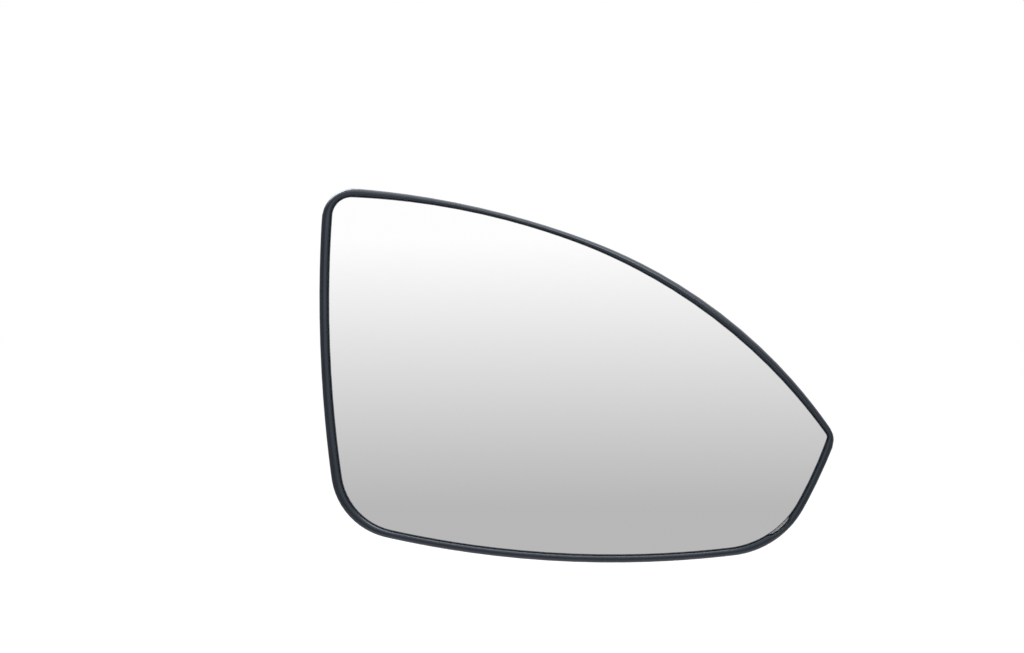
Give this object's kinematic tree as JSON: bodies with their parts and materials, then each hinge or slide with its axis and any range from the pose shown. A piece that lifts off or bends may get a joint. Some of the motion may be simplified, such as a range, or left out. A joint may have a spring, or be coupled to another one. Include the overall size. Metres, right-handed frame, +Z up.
{
  "type": "car door mirror glass",
  "caption": "Convex door mirror glass with a pointed outer end, taped into a black backing plate that has a raised rim in front and a snap coupling behind.",
  "frame": {"origin": "centre of the rear coupling, on the seating land that meets the mirror's adjuster", "axes": "+X towards the pointed end, +Y out of the rear along the coupling's axis, +Z up as in the car; the glass faces -Y"},
  "size_m": [0.1864, 0.0156, 0.1354],
  "materials": {
    "mirror_coating": "polished, with a fine ground edge",
    "pad_foam": "matte grey foam tape",
    "black_plastic": "moulded, fine satin grain"
  },
  "bodies": {
    "root": {"mirror_glass": "mirror_coating", "adhesive_pad": "pad_foam", "backing_plate": "black_plastic"}
  },
  "joints": []
}
